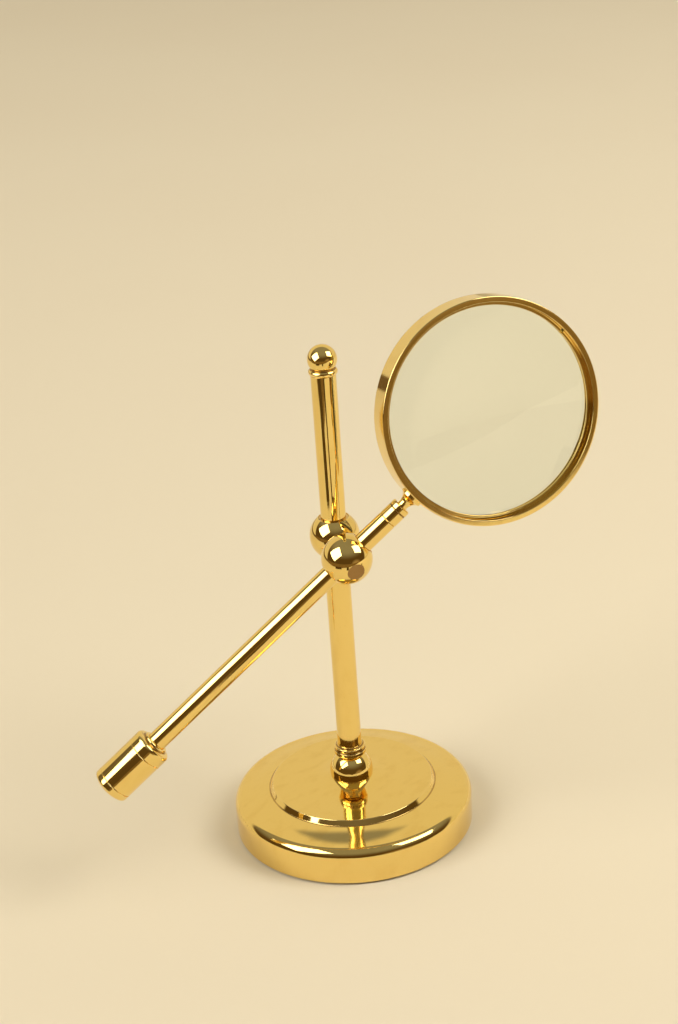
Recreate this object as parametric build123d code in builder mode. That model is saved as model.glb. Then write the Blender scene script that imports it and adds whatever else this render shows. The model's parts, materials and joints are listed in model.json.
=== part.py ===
"""Desk magnifier: weighted round base, plain post, two ball clamps, slanting counterweighted arm and lens.

Millimetres, +Z up. The origin is the middle of the underside of the base. The ball on the post is the
post ball, the ball in front of it that carries the arm is the arm ball, and the joint axis runs through
the centres of both. Along the arm, distances are measured from the centre of the arm ball, positive
towards the lens.
"""

from build123d import *
from math import cos, radians, sin, sqrt
import os

os.makedirs("parts", exist_ok=True)

# Fits
slide_clearance = 0.05     # radial, a split sleeve on the tube it slides on
running_clearance = 0.05   # radial, a sleeve or a screw that turns in a ball
solder_gap = 0.02          # radial, pieces that are soldered or pressed together
thread_gap = 0.05          # radial, between a screw thread and its tapped hole
stack_gap = 0.02           # along the joint, between faces that rub on each other

# Base
skirt_radius = 79.0
skirt_height = 18.36       # foot of the shoulder's round, over the table
shoulder_round = 6.5
shoulder_slope = 12.0      # degrees, where the round runs into the dome
sheet = 1.2                # spun brass
felt_setback = 2.2         # felt inside the skirt
felt_thickness = 1.5
step_radius = 55.0         # foot of the step in the dome
step_width = 2.2
step_bottom = 28.3
step_rise = 3.4
dome_bulge = 0.1           # the inner half of the dome is full and its outer half is hollow
bell_radius = 28.0         # the crown is hollow, and inside this radius it sweeps up to the foot ball
bell_height = 32.9
crown_dip = 0.05
bell_dip = 0.37
hub_radius = 13.95         # flat in the middle of the crown, as wide as the foot ball where it is cut
hub_top = 35.1
weight_gap = 0.4
weight_pad_radius = 11.0
nut_recess_radius = 12.0
nut_recess_depth = 10.0

# Tie rod, its nut and its washer
rod_diameter = 6.0
rod_bore_clearance = 0.25
nut_across_flats = 10.0
nut_height = 5.0
tie_washer_diameter = 20.0
tie_washer_thickness = 1.6
rod_tail = 1.6             # thread that shows below the nut

# Post
post_diameter = 15.875
post_wall = 1.2
post_length = 262.6
plug_length = 20.0
foot_ball_diameter = 28.5
foot_ball_lift = 2.9       # centre over the crown
foot_neck_radius = 7.0
foot_neck_sink = 1.05      # top of the neck below the top of the full ball
collar_height = 7.2
collar_ledge = 2.5         # floor of the socket over the collar's underside
collar_bead_radius = 10.45
collar_lip = 0.55          # wall round the tube at the top of the collar
finial_bead_proud = 1.1625  # bead's edge outside the post
finial_bead_height = 3.9
finial_neck_setback = 0.3875
finial_ball_proud = 1.2625
finial_spigot = 14.0

# Ball clamps
ball_diameter = 31.75
post_ball_height = 209.0
joint_gap = 5.2            # between the two balls
joint_turn = 10.0          # degrees from straight ahead
sleeve_wall_post = 1.5
sleeve_wall_arm = 1.2
sleeve_slit = 1.2
sleeve_setback = 0.3       # sleeve ends inside the flats of the ball
flat_margin = 0.3          # flat round each mouth
cap_diameter = 11.0        # disc that closes the spring pocket
cap_share = 0.38           # thickness of that disc, of the metal between it and the sleeve
cap_sink = 0.14
cap_chamfer = 0.2
pocket_diameter = 8.6
shoe_clearance = 0.15
disc_spring_thickness = 0.4
disc_spring_rise = 0.6
disc_spring_bore = 3.6
screw_diameter = 6.0
screw_head_diameter = 8.3
screw_head_height = 2.1
screw_head_gap = 0.25      # between the head and the sleeve on the post
screw_wall = 0.8           # metal between the screw's blind hole and the arm's bore
screw_end_gap = 0.2
screw_slot = 1.0
front_turn = 15.5          # degrees about the arm, from the joint axis to the disc in the arm ball
seat_diameter = 11.0       # flat on each ball that the stack bears on
washer_thickness = 1.6
friction_thickness = 1.2
wave_thickness = 0.5
wave_rise = 0.6

# Arm
arm_diameter = 12.7
arm_wall = 1.0
arm_slope = 39.5           # degrees over the horizontal
arm_turn = 2.5             # degrees about the arm
arm_reach = 34.5           # end of the tube towards the lens
ferrule_length = 12.5
ferrule_spigot = 10.0
ferrule_groove_at = 8.5
groove_width = 0.7
groove_depth = 0.4
stem_diameter = 5.0
stem_thread = 11.0
neck_radius = 3.3
flare_radius = 7.3
flare_rim = 0.6

# Lens and its band
band_distance = 54.7       # outside of the band, along the arm
lens_lean = 11.4           # degrees that the lens is set back from the line of the arm
band_diameter = 141.3
band_depth = 15.875
band_wall = 3.5
band_edge_round = 0.6
rib_height = 2.3
rib_width = 1.8
lens_edge = 3.2
lens_curve_radius = 330.0
lens_clearance = 0.3
retainer_width = 1.6
retainer_split = 2.0

# Counterweight
weight_distance = 166.0    # top of the counterweight, along the arm
counterweight_diameter = 25.4
counterweight_length = 45.0
top_cap_length = 10.5
end_cap_length = 8.0
cap_spigot = 3.0
counter_wall = 1.2
top_bead_wall = 2.05
top_bead_height = 2.4
shoulder_radius = 3.2      # as far as the cap's wall allows
end_dome = 3.6
end_round = 2.0
arm_tail = 10.0            # tube inside the counterweight
stud_diameter = 6.0

# Derived sizes
post_radius = post_diameter / 2
arm_radius = arm_diameter / 2
ball_radius = ball_diameter / 2
rod_radius = rod_diameter / 2
rod_bore = rod_radius + rod_bore_clearance
foot_ball_centre = hub_top + foot_ball_lift
collar_bottom = foot_ball_centre + foot_ball_diameter / 2 - foot_neck_sink
post_bottom = collar_bottom + collar_ledge
post_top = post_bottom + post_length
joint_length = ball_diameter + joint_gap
seat_radius = seat_diameter / 2
seat_distance = sqrt(ball_radius**2 - seat_radius**2)
cap_radius = cap_diameter / 2
cap_face = sqrt(ball_radius**2 - cap_radius**2) - cap_sink
pocket_radius = pocket_diameter / 2
post_sleeve_radius = post_radius + slide_clearance + sleeve_wall_post
arm_sleeve_radius = arm_radius + slide_clearance + sleeve_wall_arm
cap_floor = cap_face - (cap_face - post_sleeve_radius) * cap_share
post_bore = post_sleeve_radius + running_clearance
arm_bore = arm_sleeve_radius + running_clearance
screw_hole_end = joint_length - arm_bore - screw_wall
post_flat = sqrt(ball_radius**2 - (post_bore + flat_margin) ** 2)
arm_flat = sqrt(ball_radius**2 - (arm_bore + flat_margin) ** 2)
head_seat = post_sleeve_radius + screw_head_gap + screw_head_height
ferrule_end = arm_reach + ferrule_length
band_radius = band_diameter / 2
felt_radius = skirt_radius - felt_setback
counter_radius = counterweight_diameter / 2
top_bead_radius = arm_radius + top_bead_wall
cap_shoulder = min(shoulder_radius, (counter_radius - top_bead_radius) * 0.75)
weight_end = weight_distance + counterweight_length
arm_end = weight_distance + arm_tail

# Directions: the joint axis points from the post ball to the arm ball
post_ball_centre = Vector(0, 0, post_ball_height)
joint_direction = Vector(0, -1, 0).rotate(Axis.Z, joint_turn)
level_direction = Vector(1, 0, 0).rotate(Axis.Z, joint_turn)
arm_ball_centre = post_ball_centre + joint_direction * joint_length
arm_direction = level_direction.rotate(Axis((0, 0, 0), joint_direction), arm_slope)
front_direction = joint_direction.rotate(Axis((0, 0, 0), arm_direction), front_turn)
arm_face = joint_direction.rotate(Axis((0, 0, 0), arm_direction), -arm_turn)
lean_axis = Axis((0, 0, 0), arm_face.cross(arm_direction))
lens_outward = arm_direction.rotate(lean_axis, lens_lean)
lens_normal = arm_face.rotate(lean_axis, lens_lean)
lens_centre = arm_ball_centre + arm_direction * band_distance + lens_outward * band_radius

# Section planes: X is the radius of a turned piece and Y runs along its axis
post_section = Plane.XZ
joint_section = Plane(post_ball_centre, x_dir=(0, 0, 1), z_dir=Vector(0, 0, 1).cross(joint_direction))
front_section = Plane(arm_ball_centre, x_dir=arm_direction, z_dir=arm_direction.cross(front_direction))
arm_section = Plane(arm_ball_centre, x_dir=joint_direction, z_dir=joint_direction.cross(arm_direction))
lens_section = Plane(lens_centre, x_dir=lens_outward, z_dir=lens_outward.cross(lens_normal))


def turn(section, outline, mode=Mode.ADD):
    """Spin a closed outline of (radius, distance) points about the section plane's Y axis."""
    with BuildSketch(section) as half:
        with BuildLine():
            Polyline(*outline, close=True)
        make_face()
    revolve(half.sketch, axis=Axis(section.origin, section.y_dir), mode=mode)


def ring(section, inner, outer, low, high, mode=Mode.ADD):
    """Plain turned ring, or a disc when the inner radius is 0."""
    turn(section, [(inner, low), (outer, low), (outer, high), (inner, high)], mode)


def base_body(inset, floor, bore):
    """Solid under the base's skin, drawn in from the skin by the inset."""
    round_centre = (skirt_radius - shoulder_round - inset, skirt_height - inset)
    dome_foot = (
        round_centre[0] + shoulder_round * sin(radians(shoulder_slope)),
        round_centre[1] + shoulder_round * cos(radians(shoulder_slope)),
    )
    dome_top = (step_radius - inset, step_bottom - inset)
    dome_middle = ((dome_foot[0] + dome_top[0]) / 2, (dome_foot[1] + dome_top[1]) / 2)
    with BuildSketch(Plane.XZ) as half:
        with BuildLine():
            Line((bore, hub_top - inset), (bore, floor))
            Line((bore, floor), (skirt_radius - inset, floor))
            Line((skirt_radius - inset, floor), (skirt_radius - inset, skirt_height - inset))
            CenterArc(round_centre, shoulder_round, 0, 90 - shoulder_slope)
            SagittaArc(dome_foot, dome_middle, dome_bulge)
            SagittaArc(dome_middle, dome_top, -dome_bulge)
            Line(
                dome_top,
                (step_radius - step_width - inset, step_bottom + step_rise - inset),
            )
            SagittaArc(
                (step_radius - step_width - inset, step_bottom + step_rise - inset),
                (bell_radius - inset, bell_height - inset),
                crown_dip,
            )
            SagittaArc(
                (bell_radius - inset, bell_height - inset), (hub_radius - inset, hub_top - inset), bell_dip
            )
            Line((hub_radius - inset, hub_top - inset), (bore, hub_top - inset))
        make_face()
    revolve(half.sketch, axis=Axis.Z)


# ---- Base ----

# Spun brass shell. Its hollow is drawn in by the sheet's thickness.
with BuildPart() as base_hollow:
    base_body(sheet, 0, 0)

with BuildPart() as base_shell:
    base_body(0, felt_thickness, rod_bore)
    add(base_hollow.part, mode=Mode.SUBTRACT)
    step_edges = base_shell.edges().filter_by(GeomType.CIRCLE).filter_by(
        lambda e: abs(e.radius - step_radius) < 0.01 or abs(e.radius - step_radius + step_width) < 0.01
    )
    fillet(step_edges.filter_by(lambda e: e.center().Z > step_bottom - 0.1), sheet / 2)

# Cast iron weight inside the shell, with a recess below for the nut and washer of the tie rod.
with BuildPart() as base_weight:
    base_body(sheet + weight_gap, felt_thickness, rod_bore)
    ring(post_section, rod_bore, weight_pad_radius, hub_top - sheet - 2 * weight_gap, hub_top - sheet)
    ring(
        post_section, 0, nut_recess_radius, felt_thickness, felt_thickness + nut_recess_depth,
        Mode.SUBTRACT,
    )

# Felt disc glued under the weight: the stand rests on it.
with BuildPart() as base_felt:
    ring(post_section, 0, felt_radius, 0, felt_thickness)

washer_bottom = felt_thickness + nut_recess_depth - tie_washer_thickness
nut_bottom = washer_bottom - nut_height

# Steel washer in the roof of the recess.
with BuildPart() as tie_washer:
    ring(
        post_section, rod_bore, tie_washer_diameter / 2, washer_bottom,
        washer_bottom + tie_washer_thickness,
    )

# Hexagon nut on the lower end of the tie rod.
with BuildPart() as tie_nut:
    with BuildSketch(Plane.XY.offset(nut_bottom)):
        RegularPolygon(nut_across_flats / 2, 6, major_radius=False)
        Circle(rod_radius + thread_gap, mode=Mode.SUBTRACT)
    extrude(amount=nut_height)

# Tie rod: pulls the post, collar and foot ball down on to the base.
with BuildPart() as tie_rod:
    ring(post_section, 0, rod_radius, nut_bottom - rod_tail, post_bottom + plug_length * 0.8)
    chamfer(tie_rod.edges().filter_by(GeomType.CIRCLE), rod_diameter / 12)

# ---- Post ----

# Foot ball with its short neck, one turned piece. The crown of the base cuts its lower side.
with BuildPart() as foot_ball:
    with Locations((0, 0, foot_ball_centre)):
        Sphere(foot_ball_diameter / 2)
    ring(
        post_section, 0, foot_ball_diameter, foot_ball_centre - foot_ball_diameter, hub_top, Mode.SUBTRACT
    )
    ring(
        post_section, foot_neck_radius, foot_ball_diameter, collar_bottom - 1.2,
        foot_ball_centre + foot_ball_diameter, Mode.SUBTRACT,
    )
    ring(
        post_section, 0, foot_ball_diameter, collar_bottom, foot_ball_centre + foot_ball_diameter,
        Mode.SUBTRACT,
    )
    ring(post_section, 0, foot_neck_radius, foot_ball_centre, collar_bottom)
    ring(post_section, 0, rod_bore, 0, post_top, Mode.SUBTRACT)

# Ringed collar: two beads with a groove between, and a socket for the tube.
collar_top = collar_bottom + collar_height
lip_radius = post_radius + solder_gap + collar_lip
with BuildPart() as post_collar:
    turn(
        post_section,
        [
            (rod_bore, collar_bottom),
            (collar_bead_radius, collar_bottom),
            (collar_bead_radius, collar_bottom + 3.0),
            (collar_bead_radius - 0.9, collar_bottom + 3.2),
            (collar_bead_radius - 0.9, collar_bottom + 3.7),
            (collar_bead_radius - 0.4, collar_bottom + 3.9),
            (collar_bead_radius - 0.4, collar_bottom + 5.9),
            (lip_radius, collar_bottom + 6.3),
            (lip_radius, collar_top),
            (post_radius + solder_gap, collar_top),
            (post_radius + solder_gap, post_bottom),
            (rod_bore, post_bottom),
        ],
    )
    collar_beads = post_collar.edges().filter_by(GeomType.CIRCLE)
    fillet(collar_beads.filter_by(lambda e: abs(e.radius - collar_bead_radius) < 0.01), 0.9)
    fillet(collar_beads.filter_by(lambda e: abs(e.radius - collar_bead_radius + 0.4) < 0.01), 0.7)

# Drawn brass tube.
with BuildPart() as post_tube:
    ring(post_section, post_radius - post_wall, post_radius, post_bottom, post_top)

# Tapped plug soldered in each end of the tube: the lower one takes the tie rod.
plug_radius = post_radius - post_wall - solder_gap
with BuildPart() as post_lower_plug:
    ring(post_section, rod_radius + thread_gap, plug_radius, post_bottom, post_bottom + plug_length)

# The upper plug takes the finial's thread.
with BuildPart() as post_upper_plug:
    ring(post_section, rod_radius + thread_gap, plug_radius, post_top - plug_length, post_top)

# Finial: threaded spigot, bead, groove and ball in one turned piece.
finial_bead_top = post_top + finial_bead_height
finial_bead_diameter = post_diameter + 2 * finial_bead_proud
finial_neck_radius = post_radius - finial_neck_setback
finial_ball_radius = post_radius + finial_ball_proud
finial_ball_centre = finial_bead_top + sqrt(finial_ball_radius**2 - finial_neck_radius**2) + 0.5
with BuildPart() as post_finial:
    with Locations((0, 0, finial_ball_centre)):
        Sphere(finial_ball_radius)
    ring(post_section, 0, finial_bead_diameter, post_top - finial_ball_radius, post_top, Mode.SUBTRACT)
    ring(post_section, 0, finial_neck_radius, finial_bead_top - 1, finial_ball_centre)
    with BuildSketch(Plane.XZ):
        with Locations((0, post_top)):
            SlotOverall(finial_bead_diameter, finial_bead_height, align=(Align.CENTER, Align.MIN))
            Rectangle(
                finial_bead_diameter, finial_bead_height, align=(Align.MAX, Align.MIN), mode=Mode.SUBTRACT
            )
    revolve(axis=Axis.Z)
    ring(post_section, 0, rod_radius, post_top - finial_spigot, post_top)

# ---- Sleeve and ball on the post ----

# Split brass sleeve that grips the post: it slides, and the ball turns round it.
sleeve_half = post_flat - sleeve_setback
with BuildPart() as post_sleeve:
    ring(
        post_section, post_radius + slide_clearance, post_sleeve_radius,
        post_ball_height - sleeve_half, post_ball_height + sleeve_half,
    )
    with BuildSketch(Plane(post_ball_centre - Vector(0, 0, sleeve_half), x_dir=level_direction)):
        Rectangle(post_sleeve_radius * 2, sleeve_slit, align=(Align.MIN, Align.CENTER))
    extrude(amount=2 * sleeve_half, mode=Mode.SUBTRACT)

# Post ball: bored for the sleeve, a flat where it meets the stack, a hole for the pivot screw whose head
# sinks in the wall of the bore, and behind it the pocket of the shoe, through which the screw goes in.
with BuildPart() as post_ball:
    with Locations(post_ball_centre):
        Sphere(ball_radius)
    ring(
        post_section, 0, ball_diameter, post_ball_height + post_flat, post_ball_height + ball_diameter,
        Mode.SUBTRACT,
    )
    ring(
        post_section, 0, ball_diameter, post_ball_height - ball_diameter, post_ball_height - post_flat,
        Mode.SUBTRACT,
    )
    ring(
        post_section, 0, post_bore, post_ball_height - ball_diameter, post_ball_height + ball_diameter,
        Mode.SUBTRACT,
    )
    ring(joint_section, 0, ball_diameter, seat_distance, ball_diameter, Mode.SUBTRACT)
    ring(joint_section, 0, screw_diameter / 2 + running_clearance, 0, ball_diameter, Mode.SUBTRACT)
    ring(joint_section, 0, screw_head_diameter / 2 + running_clearance, 0, head_seat, Mode.SUBTRACT)
    ring(joint_section, 0, pocket_radius, -cap_floor, 0, Mode.SUBTRACT)
    ring(joint_section, 0, cap_radius, -ball_diameter, -cap_floor, Mode.SUBTRACT)

# Shoe that a disc spring presses on the sleeve.
spring_height = disc_spring_thickness + disc_spring_rise
shoe_radius = pocket_radius - shoe_clearance
with BuildPart() as post_shoe:
    ring(joint_section, 0, shoe_radius, -(cap_floor - spring_height - stack_gap), 0)
    ring(post_section, 0, post_sleeve_radius + stack_gap, 0, post_ball_height + ball_radius, Mode.SUBTRACT)

# Disc spring behind the shoe.
with BuildPart() as post_disc_spring:
    turn(
        joint_section,
        [
            (disc_spring_bore / 2, -cap_floor + spring_height),
            (shoe_radius, -cap_floor + disc_spring_thickness),
            (shoe_radius, -cap_floor),
            (disc_spring_bore / 2, -cap_floor + disc_spring_rise),
        ],
    )

# Disc pressed into the back of the ball over the spring.
with BuildPart() as post_ball_cap:
    turn(
        joint_section,
        [
            (0, -cap_floor),
            (cap_radius - solder_gap, -cap_floor),
            (cap_radius - solder_gap, -cap_face + cap_chamfer),
            (cap_radius - solder_gap - cap_chamfer, -cap_face),
            (0, -cap_face),
        ],
    )

# ---- Stack between the balls ----

stack_start = seat_distance
stack_end = joint_length - seat_distance
friction_start = stack_start + washer_thickness
spacer_start = friction_start + friction_thickness + stack_gap
wave_height = wave_thickness + wave_rise
spacer_end = stack_end - wave_height
stack_bore = screw_diameter / 2 + running_clearance

# Brass washer that bears on the post ball's flat.
with BuildPart() as thrust_washer:
    ring(joint_section, stack_bore, seat_radius - 0.1, stack_start, friction_start)

# Fibre disc that the spacer rubs on.
with BuildPart() as friction_disc:
    ring(joint_section, stack_bore, seat_radius - 0.3, friction_start, friction_start + friction_thickness)

# Brass spacer that turns with the arm ball.
with BuildPart() as joint_spacer:
    ring(joint_section, stack_bore, seat_radius - 0.1, spacer_start, spacer_end)

# Dished spring washer that keeps the stack tight.
with BuildPart() as joint_spring:
    turn(
        joint_section,
        [
            (stack_bore, spacer_end + wave_rise),
            (seat_radius - 0.4, spacer_end),
            (seat_radius - 0.4, spacer_end + wave_thickness),
            (stack_bore, stack_end),
        ],
    )

# Pivot screw: slotted head in the post ball, plain shank through the stack, thread in the arm ball.
with BuildPart() as pivot_screw:
    ring(
        joint_section, 0, screw_head_diameter / 2, head_seat - screw_head_height, head_seat - stack_gap
    )
    ring(joint_section, 0, screw_diameter / 2, head_seat - screw_head_height, screw_hole_end - screw_end_gap)
    slot_plane = Plane(
        post_ball_centre + joint_direction * (head_seat - screw_head_height),
        x_dir=(0, 0, 1), z_dir=joint_direction,
    )
    with BuildSketch(slot_plane):
        Rectangle(screw_head_diameter * 2, screw_slot)
    extrude(amount=screw_head_height / 2, mode=Mode.SUBTRACT)

# ---- Arm ball and its sleeve ----

# Arm ball: bored for the sleeve on the arm, tapped behind for the pivot screw, pocket and cap in front,
# square to the arm but turned a little about it from the joint axis.
with BuildPart() as arm_ball:
    with Locations(arm_ball_centre):
        Sphere(ball_radius)
    ring(arm_section, 0, ball_diameter, arm_flat, ball_diameter, Mode.SUBTRACT)
    ring(arm_section, 0, ball_diameter, -ball_diameter, -arm_flat, Mode.SUBTRACT)
    ring(arm_section, 0, arm_bore, -ball_diameter, ball_diameter, Mode.SUBTRACT)
    ring(joint_section, 0, ball_diameter, 0, stack_end, Mode.SUBTRACT)
    ring(joint_section, 0, screw_diameter / 2 + thread_gap, 0, screw_hole_end, Mode.SUBTRACT)
    ring(front_section, 0, pocket_radius, 0, cap_floor, Mode.SUBTRACT)
    ring(front_section, 0, cap_radius, cap_floor, ball_diameter, Mode.SUBTRACT)

# Shoe that presses on the arm's sleeve.
with BuildPart() as arm_shoe:
    ring(front_section, 0, shoe_radius, 0, cap_floor - spring_height - stack_gap)
    ring(arm_section, 0, arm_sleeve_radius + stack_gap, -ball_diameter, ball_diameter, Mode.SUBTRACT)

# Disc spring behind that shoe.
with BuildPart() as arm_disc_spring:
    turn(
        front_section,
        [
            (disc_spring_bore / 2, cap_floor - spring_height),
            (shoe_radius, cap_floor - disc_spring_thickness),
            (shoe_radius, cap_floor),
            (disc_spring_bore / 2, cap_floor - disc_spring_rise),
        ],
    )

# Plain disc that shows in the front of the arm ball.
with BuildPart() as arm_ball_cap:
    turn(
        front_section,
        [
            (0, cap_floor),
            (cap_radius - solder_gap, cap_floor),
            (cap_radius - solder_gap, cap_face - cap_chamfer),
            (cap_radius - solder_gap - cap_chamfer, cap_face),
            (0, cap_face),
        ],
    )

# Split brass sleeve in the arm ball: it turns in the ball and the arm slides through it.
arm_sleeve_half = arm_flat - sleeve_setback
with BuildPart() as arm_sleeve:
    ring(
        arm_section, arm_radius + slide_clearance, arm_sleeve_radius, -arm_sleeve_half, arm_sleeve_half
    )
    with BuildSketch(arm_section.offset(0)):
        Rectangle(sleeve_slit, 2 * ball_diameter)
    extrude(amount=-arm_sleeve_radius * 2, mode=Mode.SUBTRACT)

# ---- Arm ----

# Drawn brass tube from the ferrule to the counterweight.
with BuildPart() as arm_tube:
    ring(arm_section, arm_radius - arm_wall, arm_radius, -arm_end, arm_reach)

# Turned ferrule soldered in the upper end, with a fine groove at its foot and one further out.
arm_plug_radius = arm_radius - arm_wall - solder_gap
groove_at = arm_reach + ferrule_groove_at
with BuildPart() as arm_ferrule:
    turn(
        arm_section,
        [
            (0, arm_reach - ferrule_spigot),
            (arm_plug_radius, arm_reach - ferrule_spigot),
            (arm_plug_radius, arm_reach),
            (arm_radius - groove_depth, arm_reach),
            (arm_radius, arm_reach + groove_width),
            (arm_radius, groove_at - groove_width / 2),
            (arm_radius - groove_depth, groove_at),
            (arm_radius, groove_at + groove_width / 2),
            (arm_radius, ferrule_end - groove_width),
            (arm_radius - groove_width, ferrule_end),
            (0, ferrule_end),
        ],
    )
    ring(
        arm_section, 0, stem_diameter / 2 + thread_gap, ferrule_end - stem_thread - 1, ferrule_end,
        Mode.SUBTRACT,
    )

# Tapped plug soldered in the lower end of the tube.
with BuildPart() as arm_lower_plug:
    ring(arm_section, stud_diameter / 2 + thread_gap, arm_plug_radius, -arm_end, -arm_end + 14)

# ---- Lens ----

# Turned brass band with an inside rib that the lens seats on.
half_depth = band_depth / 2
band_bore = band_radius - band_wall
lens_radius = band_bore - lens_clearance
seat_inner = band_bore - rib_height
edge_drop = sqrt(lens_curve_radius**2 - seat_inner**2) - sqrt(lens_curve_radius**2 - lens_radius**2)
rib_face = -lens_edge / 2 - edge_drop
with BuildPart() as lens_band:
    turn(
        lens_section,
        [
            (band_radius, -half_depth),
            (band_radius, half_depth),
            (band_bore, half_depth),
            (band_bore, rib_face),
            (seat_inner, rib_face),
            (seat_inner, rib_face - rib_width),
            (band_bore, rib_face - rib_width),
            (band_bore, -half_depth),
        ],
    )
    band_edges = lens_band.edges().filter_by(GeomType.CIRCLE)
    fillet(band_edges.filter_by(lambda e: e.radius > band_radius - 0.01), band_edge_round)

# Biconvex glass.
with BuildPart() as lens:
    sagitta = lens_curve_radius - sqrt(lens_curve_radius**2 - lens_radius**2)
    with BuildSketch(lens_section):
        with BuildLine():
            Line((0, lens_edge / 2 + sagitta), (0, -lens_edge / 2 - sagitta))
            RadiusArc((0, -lens_edge / 2 - sagitta), (lens_radius, -lens_edge / 2), -lens_curve_radius)
            Line((lens_radius, -lens_edge / 2), (lens_radius, lens_edge / 2))
            RadiusArc((lens_radius, lens_edge / 2), (0, lens_edge / 2 + sagitta), -lens_curve_radius)
        make_face()
    revolve(axis=Axis(lens_centre, lens_normal))

# Split spring ring that holds the lens on the rib.
with BuildPart() as lens_retainer:
    ring(lens_section, seat_inner, band_bore - solder_gap, -rib_face, -rib_face + retainer_width)
    with BuildSketch(Plane(lens_centre, x_dir=lens_outward, z_dir=lens_normal)):
        Rectangle(2 * band_diameter, retainer_split, align=(Align.MIN, Align.CENTER))
    extrude(amount=band_depth, mode=Mode.SUBTRACT)

# Stem: thread in the ferrule and a flared saddle soldered on the band.
with BuildPart() as lens_stem:
    with BuildSketch(arm_section):
        with BuildLine():
            Polyline(
                (0, band_distance + 3), (0, ferrule_end - stem_thread),
                (stem_diameter / 2, ferrule_end - stem_thread), (stem_diameter / 2, ferrule_end),
                (neck_radius, ferrule_end), (neck_radius, ferrule_end + 1.2),
            )
            ThreePointArc(
                (neck_radius, ferrule_end + 1.2),
                (neck_radius + (flare_radius - neck_radius) * 0.32, (ferrule_end + band_distance) / 2 + 1.0),
                (flare_radius, band_distance - flare_rim),
            )
            Polyline(
                (flare_radius, band_distance - flare_rim), (flare_radius, band_distance + 3),
                (0, band_distance + 3),
            )
        make_face()
    revolve(axis=Axis(arm_ball_centre, arm_direction))
    ring(lens_section, 0, band_radius, -band_depth, band_depth, Mode.SUBTRACT)

# ---- Counterweight ----

top_joint = -(weight_distance + top_cap_length)
end_joint = -(weight_end - end_cap_length)
liner_radius = counter_radius - counter_wall
shoulder_start = weight_distance + top_bead_height

# Top cap: bead round the arm, a cove, a rounded shoulder and a spigot in the sleeve.
with BuildPart() as counter_top_cap:
    with BuildSketch(arm_section):
        with BuildLine():
            Polyline(
                (arm_radius + solder_gap, -weight_distance),
                (arm_radius + solder_gap, top_joint - cap_spigot),
                (liner_radius - solder_gap, top_joint - cap_spigot),
                (liner_radius - solder_gap, top_joint),
                (counter_radius - groove_depth, top_joint),
                (counter_radius, top_joint + groove_width / 2),
                (counter_radius, -shoulder_start - cap_shoulder),
            )
            CenterArc(
                (counter_radius - cap_shoulder, -shoulder_start - cap_shoulder), cap_shoulder, 0, 90
            )
            Polyline(
                (counter_radius - cap_shoulder, -shoulder_start),
                (top_bead_radius, -shoulder_start - 0.6),
                (top_bead_radius, -weight_distance),
                (arm_radius + solder_gap, -weight_distance),
            )
        make_face()
    revolve(axis=Axis(arm_ball_centre, arm_direction))
    bead_edges = counter_top_cap.edges().filter_by(GeomType.CIRCLE).filter_by(
        lambda e: abs(e.radius - top_bead_radius) < 0.01
    )
    fillet(bead_edges.sort_by_distance(arm_ball_centre)[0], 0.9)

# Brass sleeve of the counterweight.
with BuildPart() as counter_sleeve:
    turn(
        arm_section,
        [
            (liner_radius, top_joint),
            (counter_radius - groove_depth, top_joint),
            (counter_radius, top_joint - groove_width / 2),
            (counter_radius, end_joint + groove_width / 2),
            (counter_radius - groove_depth, end_joint),
            (liner_radius, end_joint),
        ],
    )

# Domed end cap, tapped blind for the stud.
dome_radius = (counter_radius**2 + end_dome**2) / (2 * end_dome)
dome_centre = dome_radius - weight_end
with BuildPart() as counter_end_cap:
    with BuildSketch(arm_section):
        with BuildLine():
            Polyline(
                (0, -weight_end), (0, end_joint + cap_spigot),
                (liner_radius - solder_gap, end_joint + cap_spigot), (liner_radius - solder_gap, end_joint),
                (counter_radius - groove_depth, end_joint), (counter_radius, end_joint - groove_width / 2),
                (counter_radius, -weight_end + end_dome),
            )
            ThreePointArc(
                (counter_radius, -weight_end + end_dome),
                (counter_radius / 2, dome_centre - sqrt(dome_radius**2 - counter_radius**2 / 4)),
                (0, -weight_end),
            )
        make_face()
    revolve(axis=Axis(arm_ball_centre, arm_direction))
    rim = counter_end_cap.edges().filter_by(GeomType.CIRCLE).sort_by(Axis(arm_ball_centre, arm_direction))
    fillet(rim.filter_by(lambda e: abs(e.radius - counter_radius) < 0.01)[0], end_round)
    ring(
        arm_section, 0, stud_diameter / 2 + thread_gap, -weight_end + end_cap_length / 2,
        end_joint + cap_spigot, Mode.SUBTRACT,
    )

# Iron slug inside the sleeve, stepped for the end of the arm.
core_top = top_joint - cap_spigot
core_end = end_joint + cap_spigot
with BuildPart() as counter_core:
    ring(arm_section, stud_diameter / 2 + rod_bore_clearance, liner_radius - solder_gap, core_end, core_top)

# Stud that screws into the arm's plug and the end cap and draws the counterweight together.
with BuildPart() as counter_stud:
    ring(
        arm_section, 0, stud_diameter / 2, -weight_end + end_cap_length / 2 + 0.5, -arm_end + 12
    )
    chamfer(counter_stud.edges().filter_by(GeomType.CIRCLE), stud_diameter / 12)

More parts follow.
